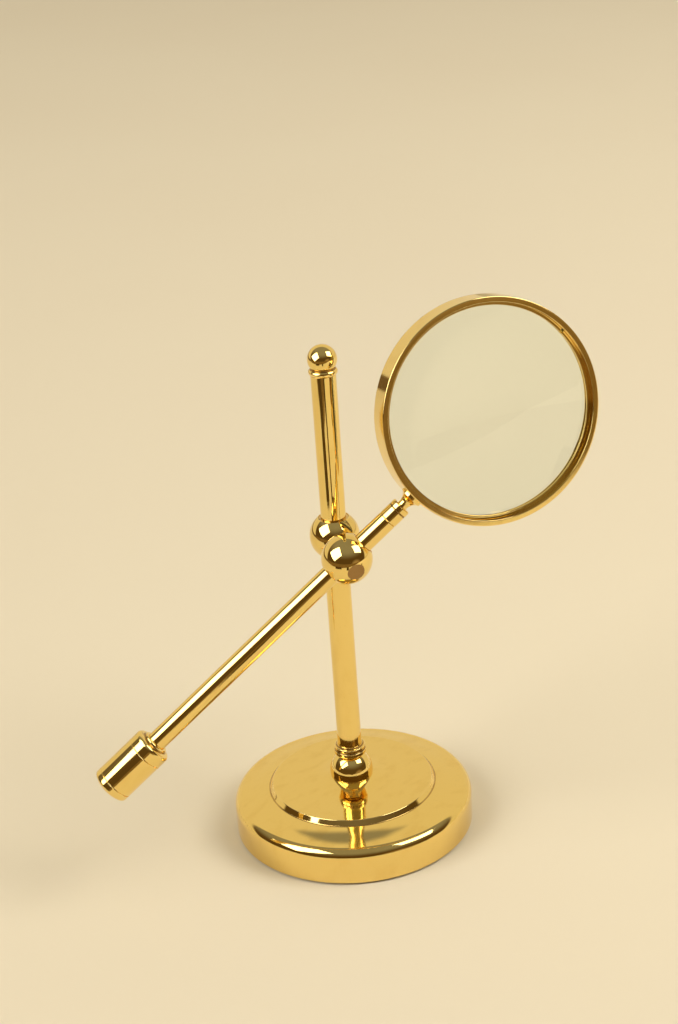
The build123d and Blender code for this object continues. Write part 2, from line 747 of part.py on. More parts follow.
pieces = {
    "base_shell": base_shell,
    "base_weight": base_weight,
    "base_felt": base_felt,
    "tie_washer": tie_washer,
    "tie_nut": tie_nut,
    "tie_rod": tie_rod,
    "foot_ball": foot_ball,
    "post_collar": post_collar,
    "post_tube": post_tube,
    "post_lower_plug": post_lower_plug,
    "post_upper_plug": post_upper_plug,
    "post_finial": post_finial,
    "post_sleeve": post_sleeve,
    "post_ball": post_ball,
    "post_shoe": post_shoe,
    "post_disc_spring": post_disc_spring,
    "post_ball_cap": post_ball_cap,
    "thrust_washer": thrust_washer,
    "friction_disc": friction_disc,
    "joint_spacer": joint_spacer,
    "joint_spring": joint_spring,
    "pivot_screw": pivot_screw,
    "arm_ball": arm_ball,
    "arm_shoe": arm_shoe,
    "arm_disc_spring": arm_disc_spring,
    "arm_ball_cap": arm_ball_cap,
    "arm_sleeve": arm_sleeve,
    "arm_tube": arm_tube,
    "arm_ferrule": arm_ferrule,
    "arm_lower_plug": arm_lower_plug,
    "lens_band": lens_band,
    "lens": lens,
    "lens_retainer": lens_retainer,
    "lens_stem": lens_stem,
    "counter_top_cap": counter_top_cap,
    "counter_sleeve": counter_sleeve,
    "counter_end_cap": counter_end_cap,
    "counter_core": counter_core,
    "counter_stud": counter_stud,
}

for name, piece in pieces.items():
    piece.part.label = name
    export_step(piece.part, f"parts/{name}.step")

print("joint axis", joint_direction, "arm axis", arm_direction)
print("arm ball centre", arm_ball_centre, "lens centre", lens_centre, "lens normal", lens_normal)
print("finial top", finial_ball_centre + finial_ball_radius)
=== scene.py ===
"""Desk magnifier in polished brass, pieces in the order in which the stand is put together."""

import json
import math

import bmesh
import bpy
from mathutils import Matrix, Vector


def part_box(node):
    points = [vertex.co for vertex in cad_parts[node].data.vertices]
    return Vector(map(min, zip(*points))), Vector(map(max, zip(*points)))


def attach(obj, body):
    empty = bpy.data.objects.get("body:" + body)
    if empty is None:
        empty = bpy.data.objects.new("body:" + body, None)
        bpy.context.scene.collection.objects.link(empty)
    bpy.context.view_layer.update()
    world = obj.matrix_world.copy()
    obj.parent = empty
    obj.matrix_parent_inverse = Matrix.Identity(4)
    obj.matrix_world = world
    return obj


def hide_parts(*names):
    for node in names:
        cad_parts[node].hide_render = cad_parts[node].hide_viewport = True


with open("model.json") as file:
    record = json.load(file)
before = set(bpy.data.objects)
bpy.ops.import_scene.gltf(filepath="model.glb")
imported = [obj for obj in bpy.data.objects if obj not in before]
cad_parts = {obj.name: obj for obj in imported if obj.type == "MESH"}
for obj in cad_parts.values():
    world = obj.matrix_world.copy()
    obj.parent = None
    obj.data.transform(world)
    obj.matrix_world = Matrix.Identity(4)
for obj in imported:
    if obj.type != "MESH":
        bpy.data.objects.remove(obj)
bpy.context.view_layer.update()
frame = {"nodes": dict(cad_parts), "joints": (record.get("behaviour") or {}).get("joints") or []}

# ---- The joints ----
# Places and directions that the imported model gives: the post is upright, the joint axis runs from the post
# ball to the arm ball, and the arm runs through the arm ball. One unit here is a metre, sizes are in mm.
mm = 0.001
joints = {joint["name"]: joint for joint in frame["joints"]}
upright = Vector((0, 0, 1))
post_ball_centre = Vector(joints["ball_pivot"]["pos_m"])
joint_direction = Vector(joints["ball_pivot"]["axis"]).normalized()
arm_ball_centre = Vector(joints["arm_twist"]["pos_m"])
arm_direction = Vector(joints["arm_twist"]["axis"]).normalized()
# The disc in the arm ball stands square to the arm, turned a little about it from the joint axis.
front_turn = math.radians(15.5)
front_direction = Matrix.Rotation(front_turn, 3, arm_direction) @ joint_direction

# ---- Camera ----
# A short telephoto lens over the front edge of the table, looking down on the base.
camera_place = Vector((0, -1.088012, 0.70346))
camera_turn, camera_pitch, camera_roll = math.radians(0.196), math.radians(23.762), math.radians(-4.046)
camera_focus = 66.797
camera_data = bpy.data.cameras.new("studio_camera")
camera_data.lens = camera_focus
camera_data.sensor_width = 36
camera_data.clip_start, camera_data.clip_end = 0.05, 200
camera = bpy.data.objects.new("studio_camera", camera_data)
bpy.context.scene.collection.objects.link(camera)
forward = Vector((
    math.sin(camera_turn) * math.cos(camera_pitch),
    math.cos(camera_turn) * math.cos(camera_pitch),
    -math.sin(camera_pitch),
))
level = Vector((math.cos(camera_turn), -math.sin(camera_turn), 0))
rise = level.cross(forward)
camera_right = math.cos(camera_roll) * level + math.sin(camera_roll) * rise
camera_up = -math.sin(camera_roll) * level + math.cos(camera_roll) * rise
camera.matrix_world = Matrix.Translation(camera_place) @ Matrix(
    (camera_right, camera_up, -forward)
).transposed().to_4x4()
bpy.context.scene.camera = camera
bpy.context.scene.view_settings.view_transform = "Standard"


# ---- Paper ----
# A wide roll of cream background paper, laid flat under the stand and far out behind it.
class Lead:
    """A value on its way through a finish. Sums written with it become Math nodes."""

    def __init__(self, finish, socket):
        self.finish, self.socket = finish, socket

    def out(self, index):
        return Lead(self.finish, self.socket.node.outputs[index])

    def maths(self, operation, *values):
        return self.finish.node("ShaderNodeMath", {"operation": operation}, dict(enumerate(values)))

    def __add__(self, other):
        return self.maths("ADD", self, other)

    def __sub__(self, other):
        return self.maths("SUBTRACT", self, other)

    def __rsub__(self, other):
        return self.maths("SUBTRACT", other, self)

    def __mul__(self, other):
        return self.maths("MULTIPLY", self, other)

    def __pow__(self, other):
        return self.maths("POWER", self, other)

    __radd__ = __add__


class Finish:
    """A material, or the sky, under construction."""

    def __init__(self, holder):
        holder.use_nodes = True
        self.holder, self.tree = holder, holder.node_tree
        self.tree.nodes.clear()

    def node(self, kind, settings=None, inputs=None, out=0):
        """Adds a node: its settings first, then the values or leads of its sockets. Gives one output."""
        made = self.tree.nodes.new(kind)
        for key, value in (settings or {}).items():
            setattr(made, key, value)
        for key, value in (inputs or {}).items():
            socket = made.inputs[key]
            if isinstance(value, Lead):
                self.tree.links.new(value.socket, socket)
            else:
                socket.default_value = value
        return Lead(self, made.outputs[out]) if made.outputs else None

    def noise(self, place, scale, detail=2.0, roughness=0.5):
        return self.node("ShaderNodeTexNoise", None, {
            "Vector": place, "Scale": scale, "Detail": detail, "Roughness": roughness,
        })

    def between(self, value, low, high, floor=0.0, top=1.0):
        """Stretches low..high to floor..top with soft ends."""
        return self.node("ShaderNodeMapRange", {"interpolation_type": "SMOOTHSTEP"}, {
            "Value": value, "From Min": low, "From Max": high, "To Min": floor, "To Max": top,
        })

    def blend(self, share, first, second):
        """Mixes two colours."""
        return self.node("ShaderNodeMix", {"data_type": "RGBA"}, {
            0: share, 6: first, 7: second,
        }, out=2)

    def spot(self, scale=(1, 1, 1), turn=(0, 0, 0), at=None):
        """Where a point is on its own piece, turned and then stretched by the scale."""
        at = at or self.node("ShaderNodeTexCoord", out=3)
        turned = self.node("ShaderNodeMapping", None, {"Vector": at, "Rotation": turn})
        return self.node("ShaderNodeMapping", None, {"Vector": turned, "Scale": scale})


def paint(shade):
    return (*shade, 1)


paper = Finish(bpy.data.materials.new("background_paper"))
paper_grain = paper.noise(paper.spot(), 900, 3.0)
paper_cloud = paper.noise(paper.spot(), 1.1, 2.0)
paper_colour = paper.blend(
    paper.between(paper_cloud, 0.35, 0.65), paint((0.715, 0.632, 0.470)), paint((0.708, 0.622, 0.460))
)
paper_scuff = paper.between(paper.noise(paper.spot((14, 60, 14)), 1.0, 4.0), 0.70, 0.78, 0, 0.08)
paper_shader = paper.node("ShaderNodeBsdfPrincipled", None, {
    "Base Color": paper.blend(paper_scuff, paper_colour, paint((0.66, 0.53, 0.40))),
    "Roughness": paper.between(paper_grain, 0.3, 0.7, 0.75, 0.9),
    "Specular IOR Level": 0.15,
    "Normal": paper.node("ShaderNodeBump", None, {
        "Height": paper_grain, "Strength": 0.05, "Distance": 0.0001,
    }),
})
paper.node("ShaderNodeOutputMaterial", None, {"Surface": paper_shader})

paper_half, paper_rows = 30.0, 24
paper_shape = bmesh.new()
bmesh.ops.create_grid(paper_shape, x_segments=paper_rows, y_segments=paper_rows, size=paper_half)
paper_mesh = bpy.data.meshes.new("paper_floor")
paper_shape.to_mesh(paper_mesh)
paper_shape.free()
paper_floor = bpy.data.objects.new("paper_floor", paper_mesh)
paper_mesh.materials.append(paper.holder)
bpy.context.scene.collection.objects.link(paper_floor)

# ---- Studio ----
# Two square soft lights, left and right of the camera. Glowing cards beside them only show in polished metal
# and glass: bright ones stand for the faces of the lamps, and dark ones are painted reflections of the room
# in front of the paper and of the legs of a tripod.
soft_lights = {
    "left_light": ((-0.725, -0.355, 0.591), 30.0, 20.0, 7000),
    "right_light": ((0.676, -0.150, 0.7215), 5.0, 2.9, 170),
}
for light_name, (direction, distance, size, power) in soft_lights.items():
    light_data = bpy.data.lights.new(light_name, "AREA")
    light_data.shape, light_data.size, light_data.energy = "SQUARE", size, power
    light_data.color = (1.0, 0.975, 0.93)
    light = bpy.data.objects.new(light_name, light_data)
    aim = Vector(direction).normalized()
    light.matrix_world = Matrix.Translation(aim * distance) @ aim.to_track_quat("Z", "Y").to_matrix().to_4x4()
    bpy.context.scene.collection.objects.link(light)
    light.visible_camera, light.visible_glossy, light.visible_transmission = False, False, False

room = Finish(bpy.data.worlds.new("room"))
bpy.context.scene.world = room.holder
ray = room.node("ShaderNodeTexCoord", out=0)


def towards(*direction):
    return room.node("ShaderNodeVectorMath", {"operation": "DOT_PRODUCT"}, {0: ray, 1: direction}, out=1)


dark_end = room.blend(
    room.between(towards(0, 0, 1), 0.30, 0.85), paint((0.105, 0.062, 0.02)), paint((0.30, 0.28, 0.235))
)
dark_end = room.blend(
    room.between(towards(0.62, -0.77, -0.15), 0.90, 0.99), dark_end, paint((0.38, 0.26, 0.14))
)
studio = room.blend(
    room.between(towards(0.095, 0.8, -0.55), -0.03, 0.05), dark_end, paint((0.80, 0.68, 0.45))
)
seen = room.node("ShaderNodeLightPath", out=0)
room_light = room.node("ShaderNodeBackground", None, {
    "Color": room.blend(seen, studio, paint((0.78, 0.69, 0.50))), "Strength": 1.0,
})
room.node("ShaderNodeOutputWorld", None, {"Surface": room_light})


def card(name, corners, pale, deep, strength=1.0):
    """Flat glowing card that only shows in reflections, in two tones of one colour."""
    glow = Finish(bpy.data.materials.new(name))
    patch = glow.between(glow.noise(glow.spot(), 4.0, 2.0), 0.35, 0.65)
    glow.node("ShaderNodeOutputMaterial", None, {"Surface": glow.node("ShaderNodeEmission", None, {
        "Color": glow.blend(patch, paint(pale), paint(deep)), "Strength": strength,
    })})
    shape = bmesh.new()
    shape.faces.new([shape.verts.new(corner) for corner in corners])
    mesh = bpy.data.meshes.new(name)
    shape.to_mesh(mesh)
    shape.free()
    mesh.materials.append(glow.holder)
    sheet = bpy.data.objects.new(name, mesh)
    bpy.context.scene.collection.objects.link(sheet)
    for reach in ("camera", "diffuse", "shadow", "transmission", "volume_scatter"):
        setattr(sheet, "visible_" + reach, False)


for card_name, (direction, distance, size, twist, strength) in {
    "left_lamp_face": ((-0.725, -0.355, 0.591), 0.66, 0.52, 58, 4.5),
    "right_lamp_face": ((0.676, -0.150, 0.7215), 0.80, 0.44, -38, 4.5),
}.items():
    aim = Vector(direction).normalized()
    lamp_place = (
        Matrix.Translation(arm_ball_centre + aim * distance)
        @ aim.to_track_quat("Z", "Y").to_matrix().to_4x4()
        @ Matrix.Rotation(math.radians(twist), 4, "Z")
    )
    card(card_name, [
        lamp_place @ Vector((x * size / 2, y * size / 2, 0)) for x, y in ((-1, -1), (1, -1), (1, 1), (-1, 1))
    ], (1.0, 0.97, 0.90), (0.96, 0.93, 0.86), strength)
# Painted reflections of the dark room: dark glowing cards just above the paper, from a slant in front of the
# stand outwards, and far out on its left.
edge_middle, edge_slope, side_edge, far_edge, low = -0.83, -0.53, -1.8, 2.5, 0.0015
side_corner = (side_edge, edge_middle + edge_slope * side_edge, low)
card("room_front_painted_reflection", [
    (-paper_half, edge_middle + edge_slope * side_edge, low), (-paper_half, -paper_half, low),
    (paper_half, -paper_half, low), (paper_half, edge_middle + edge_slope * far_edge, low),
    (far_edge, edge_middle + edge_slope * far_edge, low), side_corner,
], (0.27, 0.17, 0.07), (0.16, 0.095, 0.035))
card("room_left_painted_reflection", [
    (-paper_half, side_corner[1], low), side_corner,
    (side_edge, paper_half, low), (-paper_half, paper_half, low),
], (0.20, 0.13, 0.06), (0.12, 0.07, 0.03))
# Painted reflections of a tripod's legs: dark glowing cards just above the paper.
for leg_reflection_name, corners in {
    "tripod_foot_painted_reflection": ((-0.030, -0.42), (0.034, -0.42), (0.10, -0.90), (-0.05, -0.90)),
    "tripod_left_leg_painted_reflection": ((-0.42, -0.34), (-0.22, -0.50), (-0.42, -0.90), (-0.74, -0.62)),
    "tripod_right_leg_painted_reflection": ((0.36, -0.20), (0.37, -0.23), (0.90, -0.50), (0.88, -0.42)),
}.items():
    card(leg_reflection_name, [(x, y, low * 2) for x, y in corners], (0.10, 0.062, 0.022), (0.06, 0.036, 0.012))


# ---- Felt ----
# Disc of dark green wool felt, cut a little smaller than the base and glued under it. Its edge is slightly
# fuzzy and crushed by the weight on it.
def rounded(corners, steps=5):
    """Outline of (radius, height) points from corners of (radius, height, rounding)."""
    outline = []
    for index, corner in enumerate(corners):
        here = Vector(corner[:2])
        rounding = corner[2] if len(corner) > 2 else 0
        if not rounding or index in (0, len(corners) - 1):
            outline.append(tuple(here))
            continue
        back = Vector(corners[index - 1][:2]) - here
        on = Vector(corners[index + 1][:2]) - here
        half = back.angle(on) / 2
        reach = min(rounding / math.tan(half), back.length * 0.49, on.length * 0.49)
        radius = reach * math.tan(half)
        middle = here + (back.normalized() + on.normalized()).normalized() * (radius / math.sin(half))
        start, end = here + back.normalized() * reach, here + on.normalized() * reach
        turn = (end - middle).angle_signed(start - middle)
        for step in range(steps + 1):
            outline.append(tuple(middle + Matrix.Rotation(turn * step / steps, 2) @ (start - middle)))
    return outline


def arc(centre, radius, start, end, steps=16):
    """Points of an arc in an outline, from one angle to another in degrees, 0 being outwards."""
    return [
        (
            centre[0] + radius * math.cos(math.radians(start + (end - start) * step / steps)),
            centre[1] + radius * math.sin(math.radians(start + (end - start) * step / steps)),
        )
        for step in range(steps + 1)
    ]


def eased(outline, closed):
    """Adds points near the ends of each long run, so that wear stays close to the corners."""
    fuller = []
    for index, here in enumerate(outline):
        fuller.append(here)
        if index == len(outline) - 1 and not closed:
            break
        there = outline[(index + 1) % len(outline)]
        run = math.dist(here, there)
        near = [d for d in (0.35, 0.9, 2.0) if d < run * 0.45]
        for d in near + [run - d for d in reversed(near)]:
            fuller.append(tuple(a + (b - a) * d / run for a, b in zip(here, there)))
    return fuller


def seat(origin, direction, face=None):
    """Placement of a turned piece: its axis along the direction, its X towards the face."""
    axis = direction.normalized()
    side = (face - axis * face.dot(axis)).normalized() if face else axis.orthogonal().normalized()
    return Matrix.Translation(origin) @ Matrix((side, axis.cross(side), axis)).transposed().to_4x4()


def put(piece, body, slot, finish, *nodes):
    """Gives a piece its finish, sets it on its body and hides the imported nodes that it stands for."""
    piece.data.materials.append(finish)
    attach(piece, body)
    if nodes:
        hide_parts(*nodes)
    return piece


def own_places(mesh, place):
    """Writes where each point is in the piece's own turning frame, for the marks that turning leaves."""
    back = place.inverted()
    spots = [value for point in mesh.vertices for value in back @ point.co]
    found = mesh.attributes.get("own_place") or mesh.attributes.new("own_place", "FLOAT_VECTOR", "POINT")
    found.data.foreach_set("vector", spots)


def spun(name, outline, place, closed=False, spokes=160, gap=0.0):
    """Turns an outline of (radius, height) in mm about its axis. A gap in degrees leaves the ring split."""
    outline = eased(outline, closed)
    count, rings = len(outline), []
    shape = bmesh.new()
    sweep = math.radians(360 - gap)
    turns = spokes + 1 if gap else spokes
    angles = [math.radians(gap / 2) + sweep * i / spokes for i in range(turns)]
    for radius, height in outline:
        if radius < 1e-6:
            rings.append([shape.verts.new((0, 0, height * mm))] * turns)
        else:
            rings.append([
                shape.verts.new((radius * math.cos(a) * mm, radius * math.sin(a) * mm, height * mm))
                for a in angles
            ])
    pairs = range(count if closed else count - 1)
    for i in pairs:
        lower, upper = rings[i], rings[(i + 1) % count]
        for j in range(spokes):
            k = (j + 1) % turns
            corners = []
            for corner in (lower[j], lower[k], upper[k], upper[j]):
                if corner not in corners:
                    corners.append(corner)
            if len(corners) > 2:
                shape.faces.new(corners)
    if gap:
        for j in (0, spokes):
            shape.faces.new([ring[j] for ring in rings])
    # Smooth normals, the wear at corners and the painted shade with tarnish in hollows all come from the way
    # the outline turns.
    area = sum(
        outline[i][0] * outline[(i + 1) % count][1] - outline[(i + 1) % count][0] * outline[i][1]
        for i in range(count)
    )
    side = 1 if area > 0 else -1
    slopes, bends, along = [], [], [0.0]
    for i in range(count):
        here, before, after = (Vector(outline[k % count]) for k in (i, i - 1, i + 1))
        runs = []
        if closed or i > 0:
            runs.append(here - before)
        if closed or i < count - 1:
            runs.append(after - here)
        lean = sum(runs, Vector((0, 0)))
        slopes.append(Vector((lean.y, -lean.x)).normalized() * side)
        bends.append(runs[0].angle_signed(runs[1]) * -side if len(runs) == 2 else 0.0)
        along.append(along[-1] + (after - here).length)
    # Inside bends give the mask for painted shade with tarnish in the hollows, outside bends the wear.
    edge_wear, hollow_shade_and_tarnish = [], []
    for i in range(count):
        near = [(bends[k], abs(along[k] - along[i])) for k in range(count) if abs(along[k] - along[i]) < 1.4]
        edge_wear.append(min(1.0, sum(max(b, 0) * (1 - d / 1.4) ** 2 for b, d in near)))
        hollow_shade_and_tarnish.append(min(1.0, sum(max(-b, 0) * (1 - d / 1.4) ** 2 for b, d in near)))
    order, normals, edge, groove = {}, [], [], []
    for i, ring in enumerate(rings):
        for j, point in enumerate(ring):
            if point not in order:
                order[point] = len(order)
                out = len(set(ring)) > 1
                flat = Vector((math.cos(angles[j]), math.sin(angles[j]), 0)) if out else Vector()
                normals.append((flat * slopes[i].x + Vector((0, 0, slopes[i].y))).normalized())
                edge.append(edge_wear[i])
                groove.append(hollow_shade_and_tarnish[i])
    shape.verts.index_update()
    bmesh.ops.recalc_face_normals(shape, faces=shape.faces)
    mesh = bpy.data.meshes.new(name)
    shape.to_mesh(mesh)
    shape.free()
    own_places(mesh, Matrix.Identity(4))
    mesh.transform(place)
    mesh.polygons.foreach_set("use_smooth", [len(polygon.vertices) <= 4 for polygon in mesh.polygons])
    for title, values in (("edge_wear", edge), ("hollow_shade_and_tarnish", groove)):
        mesh.attributes.new(title, "FLOAT", "POINT").data.foreach_set("value", values)
    if gap:
        mesh.set_sharp_from_angle(angle=math.radians(24))
    else:
        turned = place.to_3x3()
        mesh.normals_split_custom_set_from_vertices([turned @ normal for normal in normals])
    piece = bpy.data.objects.new(name, mesh)
    bpy.context.scene.collection.objects.link(piece)
    return piece

felt_radius, felt_thickness = 76.8, 1.5
felt = Finish(bpy.data.materials.new("wool_felt"))
felt_hair = felt.noise(felt.spot((1, 1, 3)), 2600, 5.0, 0.7)
felt_tuft = felt.noise(felt.spot(), 420, 3.0)
felt_colour = felt.blend(
    felt.between(felt_tuft, 0.3, 0.7), paint((0.030, 0.042, 0.026)), paint((0.058, 0.075, 0.048))
)
felt.node("ShaderNodeOutputMaterial", None, {
    "Surface": felt.node("ShaderNodeBsdfPrincipled", None, {
        "Base Color": felt.blend(felt.between(felt_hair, 0.55, 0.8), felt_colour, paint((0.12, 0.14, 0.10))),
        "Roughness": felt.between(felt_hair, 0.2, 0.8, 0.85, 1.0),
        "Sheen Weight": 0.35,
        "Sheen Roughness": 0.5,
        "Specular IOR Level": 0.2,
        "Normal": felt.node("ShaderNodeBump", None, {
            "Height": felt_hair + felt_tuft, "Strength": 0.7, "Distance": 0.0003,
        }),
    }),
})
felt_disc = spun(
    "felt_disc",
    rounded([(0, 0), (felt_radius, 0, 0.35), (felt_radius, felt_thickness, 0.2), (0, felt_thickness)]),
    seat(Vector(), upright),
)
put(felt_disc, "stand", "felt", felt.holder, "base_felt")


# ---- Weight and tie rod ----
# Grey iron casting that fills the base, and the steel rod, washer and nut that pull the post down on to it.
# None of them shows once the felt is on.
def dress(finish, *nodes):
    """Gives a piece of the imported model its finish."""
    for node in nodes:
        for material_slot in frame["nodes"][node].material_slots:
            material_slot.material = finish


iron = Finish(bpy.data.materials.new("cast_iron"))
iron_skin = iron.noise(iron.spot(), 700, 5.0, 0.65)
iron_rust = iron.between(iron.noise(iron.spot(), 60, 4.0), 0.5, 0.7)
iron.node("ShaderNodeOutputMaterial", None, {
    "Surface": iron.node("ShaderNodeBsdfPrincipled", None, {
        "Base Color": iron.blend(iron_rust, paint((0.055, 0.052, 0.050)), paint((0.12, 0.055, 0.025))),
        "Metallic": 1 - iron_rust * 0.8,
        "Roughness": iron.between(iron_skin, 0.3, 0.7, 0.55, 0.85),
        "Normal": iron.node("ShaderNodeBump", None, {
            "Height": iron_skin, "Strength": 0.6, "Distance": 0.0003,
        }),
    }),
})
steel = Finish(bpy.data.materials.new("bright_steel"))
steel_lines = steel.noise(steel.spot((200, 200, 6000)), 1.0, 3.0)
steel_film = steel.between(steel.noise(steel.spot(), 160, 3.0), 0.35, 0.7)
steel.node("ShaderNodeOutputMaterial", None, {
    "Surface": steel.node("ShaderNodeBsdfPrincipled", None, {
        "Base Color": steel.blend(steel_film, paint((0.58, 0.57, 0.55)), paint((0.38, 0.36, 0.33))),
        "Metallic": 1.0,
        "Roughness": steel.between(steel_lines, 0.3, 0.7, 0.22, 0.38) + steel_film * 0.08,
        "Normal": steel.node("ShaderNodeBump", None, {
            "Height": steel_lines, "Strength": 0.15, "Distance": 0.00005,
        }),
    }),
})
dress(iron.holder, "base_weight", "counter_core")
dress(
    steel.holder, "tie_washer", "tie_nut", "tie_rod", "post_disc_spring", "arm_disc_spring", "pivot_screw",
    "counter_stud",
)


# ---- Base shell ----
# Spun from 1.2 mm brass sheet over a wooden form: straight skirt, rolled shoulder, low dome, a step, and a
# crown that sweeps up to the foot ball. Buffed bright all over, then lacquered.
def brass(name, colour, gloss, across, wander=1.0, tarnish=0.5, depth=1.0, turned=True):
    """Brass finish. Across says how close the tool or buff marks lie: (outwards, round, along) the piece."""
    metal = Finish(bpy.data.materials.new(name))
    if turned:
        at = metal.node("ShaderNodeAttribute", {"attribute_name": "own_place"}, out=1)
    else:
        at = metal.node("ShaderNodeTexCoord", out=3)
    split = metal.node("ShaderNodeSeparateXYZ", None, {0: at})
    x, y, z = split, split.out(1), split.out(2)
    radius = (x * x + y * y) ** 0.5
    turned_place = metal.node("ShaderNodeCombineXYZ", None, {
        0: radius * across[0], 1: x * across[1], 2: z * across[2],
    })
    lines = metal.noise(turned_place, 1.0, 3.0, 0.6)
    swell = metal.noise(at, 38.0, 1.0)
    smear = metal.noise(metal.spot((1, 1.6, 0.8), at=at), 75.0, 3.0)
    hair_one = metal.noise(metal.spot((60, 1900, 1500), turn=(0.5, 0.2, 0.9), at=at), 1.0, 1.0)
    hair_two = metal.noise(metal.spot((1700, 50, 1400), turn=(0.9, 0.6, 0.3), at=at), 1.0, 1.0)
    hairlines = metal.between(hair_one, 0.70, 0.78) + metal.between(hair_two, 0.71, 0.79)
    cells = metal.node("ShaderNodeTexVoronoi", None, {"Vector": at, "Scale": 300.0})
    bare = metal.between(metal.noise(at, 24.0, 2.0), 0.52, 0.68)
    pin_spots = metal.between(cells, 0.055, 0.11, 1.0, 0.0) * bare
    edge = metal.node("ShaderNodeAttribute", {"attribute_name": "edge_wear"}, out=2)
    groove = metal.node("ShaderNodeAttribute", {"attribute_name": "hollow_shade_and_tarnish"}, out=2)
    dull = metal.between(smear, 0.45, 0.75)
    deep, pale, brown = (tuple(c * k for c, k in zip(colour, ks)) for ks in (
        (0.93, 0.88, 0.78), (1.02, 1.05, 1.25), (0.34, 0.22, 0.12),
    ))
    shade = metal.blend(dull * tarnish, paint(colour), paint(deep))
    shade = metal.blend(metal.between(edge, 0.1, 0.9, 0.0, 0.6), shade, paint(pale))
    # Hollows turn darker brown: painted shade, together with tarnish.
    shade = metal.blend(metal.between(groove + smear * 0.3, 0.25, 0.95, 0.0, 0.85), shade, paint(brown))
    shade = metal.blend(pin_spots * (0.55 * tarnish), shade, paint(brown))
    rough = gloss + dull * 0.035 + metal.between(groove, 0.1, 0.9, 0.0, 0.22)
    rough = rough + hairlines * 0.05 + pin_spots * 0.1
    wave = metal.node("ShaderNodeBump", None, {
        "Height": swell, "Strength": 0.35 * wander, "Distance": 0.0004,
    })
    fine = metal.node("ShaderNodeBump", None, {
        "Height": lines - hairlines * 0.5, "Strength": 0.10 * depth, "Distance": 0.00003,
        "Normal": wave,
    })
    shader = metal.node("ShaderNodeBsdfPrincipled", None, {
        "Base Color": shade, "Metallic": 1.0, "Roughness": rough, "Coat Weight": 0.12, "Coat Roughness": 0.06,
        "Normal": fine,
    })
    metal.node("ShaderNodeOutputMaterial", None, {"Surface": shader})
    return metal.holder


def bulged(start, end, bulge, steps=14):
    """Arc from one outline point to another that stands proud of the straight line by the bulge."""
    start, end = Vector(start), Vector(end)
    chord = end - start
    outward = Vector((chord.y, -chord.x)).normalized() * (1 if bulge > 0 else -1)
    radius = (chord.length ** 2 / 4 + bulge ** 2) / (2 * abs(bulge))
    middle = (start + end) / 2 - outward * (radius - abs(bulge))
    first = math.degrees(math.atan2(*reversed(start - middle)))
    last = math.degrees(math.atan2(*reversed(end - middle)))
    if abs(last - first) > 180:
        last += 360 if last < first else -360
    return arc(middle, radius, first, last, steps)


polished = (0.92, 0.69, 0.24)
spun_brass = brass("spun_brass", polished, 0.055, (3500, 0, 3500), wander=1.0)
skirt_radius, skirt_foot, skirt_height, shoulder_round, shoulder_slope = 79.0, 1.5, 18.36, 6.5, 12.0
step_radius, step_width, step_foot, step_rise = 55.0, 2.2, 28.3, 3.4
hub_radius, hub_height, rod_hole, sheet, dome_bulge, crown_dip = 13.95, 35.1, 3.25, 1.2, 0.1, 0.05
bell_foot, bell_dip = (28.0, 32.9), 0.37
crown_edge = (step_radius - step_width, step_foot + step_rise)
shoulder = arc((skirt_radius - shoulder_round, skirt_height), shoulder_round, 0, 90 - shoulder_slope, 20)
dome_middle = tuple((Vector(shoulder[-1]) + Vector((step_radius, step_foot))) / 2)
shell_outer = [(skirt_radius - sheet, skirt_foot, 0.2), (skirt_radius, skirt_foot, 0.3)] + shoulder
shell_outer += bulged(shoulder[-1], dome_middle, -dome_bulge, 10)[1:]
shell_outer += bulged(dome_middle, (step_radius, step_foot), dome_bulge, 10)[1:-1]
shell_outer += [(step_radius, step_foot, 1.1), (*crown_edge, 0.6)]
shell_outer += bulged(crown_edge, bell_foot, -crown_dip, 16)[1:]
shell_outer += bulged(bell_foot, (hub_radius, hub_height), -bell_dip, 16)[1:]
shell_outer += [(rod_hole, hub_height)]
shell_inner = [
    (rod_hole, hub_height - sheet), (hub_radius, hub_height - sheet), (bell_foot[0], bell_foot[1] - sheet),
    (step_radius - step_width - sheet, step_foot + step_rise - sheet),
    (step_radius - sheet, step_foot - sheet),
    (skirt_radius - shoulder_round, skirt_height + shoulder_round - sheet),
    (skirt_radius - sheet, skirt_height),
]
base_shell = spun(
    "base_cover", rounded(shell_outer) + shell_inner, seat(Vector(), upright), closed=True, spokes=256
)
put(base_shell, "stand", "polished_brass", spun_brass, "base_shell")

# ---- Foot ball ----
# Turned from bar in one piece with its short neck, bored for the tie rod, and cut flat below to sit on the
# crown of the base.
turned_brass = brass("turned_brass", polished, 0.05, (5200, 0, 5200), wander=0.5)
foot_radius, foot_centre, neck_radius, neck_top = 14.25, 38.0, 7.0, 51.2
cut_angle = math.degrees(math.asin((hub_height - foot_centre) / foot_radius))
neck_angle = math.degrees(math.acos(neck_radius / foot_radius))
foot_outline = [(rod_hole, hub_height)]
foot_outline += arc((0, foot_centre), foot_radius, cut_angle, neck_angle, 40)[:-1]
foot_outline += [
    (neck_radius, foot_centre + foot_radius * math.sin(math.radians(neck_angle)), 0.4),
    (neck_radius, neck_top),
    (rod_hole, neck_top),
]
foot_ball = spun("foot_knob", rounded(foot_outline), seat(Vector(), upright), closed=True)
put(foot_ball, "stand", "polished_brass", turned_brass, "foot_ball")

